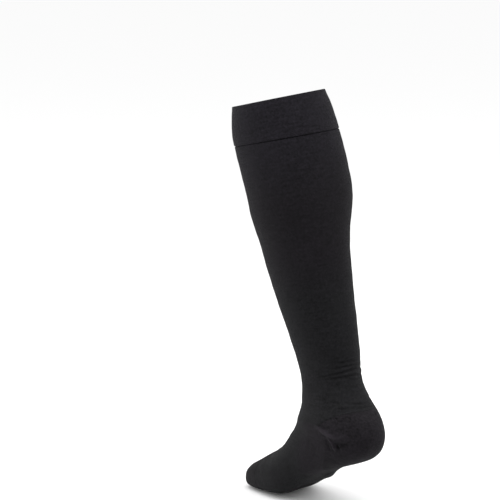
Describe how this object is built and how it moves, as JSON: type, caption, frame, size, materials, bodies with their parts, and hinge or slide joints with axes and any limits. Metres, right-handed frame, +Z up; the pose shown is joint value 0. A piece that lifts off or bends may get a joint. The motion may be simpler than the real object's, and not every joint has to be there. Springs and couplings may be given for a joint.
{
  "type": "compression stocking",
  "caption": "Knee-high compression stocking with a doubled top band, turned heel pocket and closed toe cap, hollow and shaped as worn on a walking leg.",
  "frame": {"origin": "centre of the top opening, where the band grips the leg below the knee", "axes": "+Z straight up, -Y towards the toes, +X towards the outer side of a left leg"},
  "size_m": [0.1243, 0.2164, 0.457],
  "materials": {
    "band": "black double-layer knit, matt",
    "leg": "black fine knit, faint sheen at the edges",
    "heel": "black heavier knit, matt",
    "foot": "black fine knit, faint sheen at the edges",
    "toe": "black heavier knit, matt"
  },
  "bodies": {
    "root": {"top_band": "band", "leg": "leg", "heel": "heel", "foot": "foot", "toe": "toe"}
  },
  "joints": []
}
